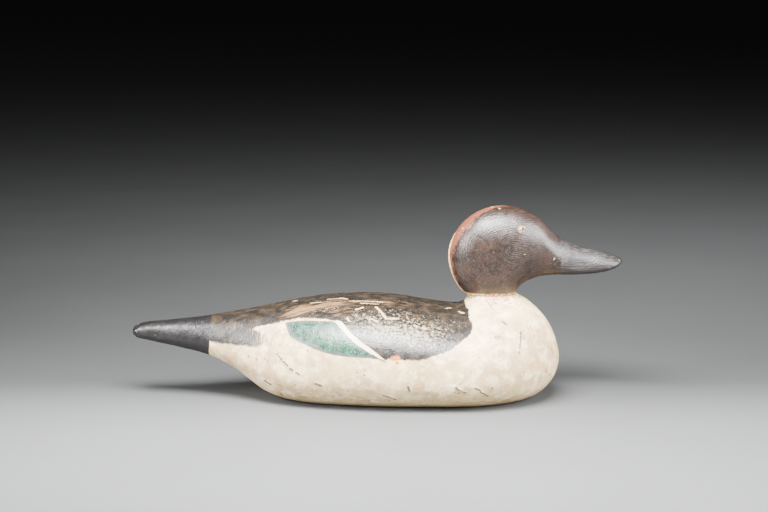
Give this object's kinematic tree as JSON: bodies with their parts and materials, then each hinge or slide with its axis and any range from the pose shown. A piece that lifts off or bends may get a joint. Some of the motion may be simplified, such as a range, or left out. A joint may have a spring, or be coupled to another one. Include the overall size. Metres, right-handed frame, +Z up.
{
  "type": "pintail decoy",
  "caption": "Carved and painted wooden drake pintail decoy: a flat-bottomed duck body with a long tapering tail, and a separate head with its bill set on a raised neck seat.",
  "frame": {"origin": "on the flat underside's plane, below the middle of the whole decoy's length and width", "axes": "+X from the tail towards the bill, +Y to the decoy's left side, +Z up"},
  "size_m": [0.445, 0.152, 0.1759],
  "materials": {
    "body_paint": "old matt oil paint on wood: cream flanks and breast with brown specks and gouges, grey-brown back, green wing patch, semi-gloss black tail",
    "head_paint": "semi-gloss dark brown oil paint over raised wood grain, grey-mauve bill, worn to cream along the back of the head"
  },
  "bodies": {
    "root": {"body": "body_paint", "head": "head_paint"}
  },
  "joints": []
}
